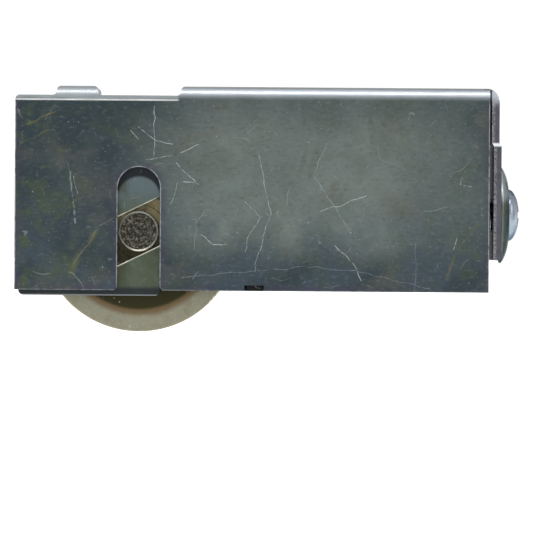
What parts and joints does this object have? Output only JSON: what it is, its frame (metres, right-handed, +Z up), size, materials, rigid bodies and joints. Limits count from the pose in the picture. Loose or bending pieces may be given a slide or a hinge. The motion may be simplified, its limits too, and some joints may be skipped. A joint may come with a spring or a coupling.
{
  "type": "sliding door roller",
  "caption": "Adjustable sliding door roller: grooved ball-bearing wheel in an open steel channel housing, raised and lowered by a screw in the end flange.",
  "frame": {"origin": "centre of the housing's flat top seat, halfway along and across its side walls", "axes": "+X along the housing towards the screw's head, +Z up out of the top seat, Y across the channel"},
  "size_m": [0.0796, 0.016, 0.0387],
  "materials": {
    "housing_zinc": "zinc-plated sheet steel with a cloudy dark passivated film, scuffed",
    "carriage_zinc": "zinc-plated sheet steel, darker and greener, sheared edges",
    "screw_zinc": "bright zinc, smooth, faint blue tint",
    "nut_zinc": "bright zinc, faint blue tint",
    "washer_zinc": "satin zinc with a blue bloom",
    "axle_steel": "dull bronzed steel, dimpled end face",
    "rivet_steel": "dull steel, upset end",
    "bearing_steel": "ground hardened steel",
    "wheel_zinc": "turned steel with pale yellow zinc plating",
    "shield_steel": "pressed steel",
    "cage_brass": "pressed brass",
    "ball_steel": "polished hardened steel"
  },
  "bodies": {
    "housing": {"outer_housing": "housing_zinc", "dished_washer": "washer_zinc"},
    "screw": {"adjusting_screw": "screw_zinc"},
    "carriage": {"inner_carriage": "carriage_zinc", "hex_nut": "nut_zinc"},
    "axle": {"axle_bush_front": "axle_steel", "axle_bush_back": "axle_steel", "axle_rivet": "rivet_steel", "bearing_inner_ring": "bearing_steel"},
    "wheel": {"wheel_rim": "wheel_zinc", "bearing_outer_ring": "bearing_steel", "shield_front": "shield_steel", "shield_back": "shield_steel"},
    "ball_set": {"ball_cage_front": "cage_brass", "ball_cage_back": "cage_brass", "ball_1": "ball_steel", "ball_2": "ball_steel", "ball_3": "ball_steel", "ball_4": "ball_steel", "ball_5": "ball_steel", "ball_6": "ball_steel", "ball_7": "ball_steel", "ball_8": "ball_steel", "ball_9": "ball_steel"}
  },
  "joints": [
    {"name": "screw_turn", "type": "hinge", "parent": "housing", "child": "screw", "pos_m": [0.04, 0, -0.01987], "axis": [-1, 0, 0], "range_deg": [-6275, 2735]},
    {"name": "carriage_slide", "type": "slide", "parent": "housing", "child": "carriage", "axis": [1, 0, 0], "range_m": [-0.0138, 0.006]},
    {"name": "axle_lift", "type": "slide", "parent": "housing", "child": "axle", "axis": [0, 0, 1], "range_m": [-0.003, 0.0068]},
    {"name": "wheel_spin", "type": "hinge", "parent": "axle", "child": "wheel", "pos_m": [-0.0178, 0.0002, -0.02285], "axis": [0, 1, 0], "continuous": true},
    {"name": "cage_spin", "type": "hinge", "parent": "axle", "child": "ball_set", "pos_m": [-0.0178, 0.0002, -0.02285], "axis": [0, 1, 0], "continuous": true}
  ],
  "couplings": [
    {"joint": "screw_turn", "follows": "carriage_slide", "rad_per_m": 7915.8},
    {"joint": "axle_lift", "follows": "carriage_slide", "ratio": -0.48773},
    {"joint": "cage_spin", "follows": "wheel_spin", "ratio": 0.6176}
  ]
}
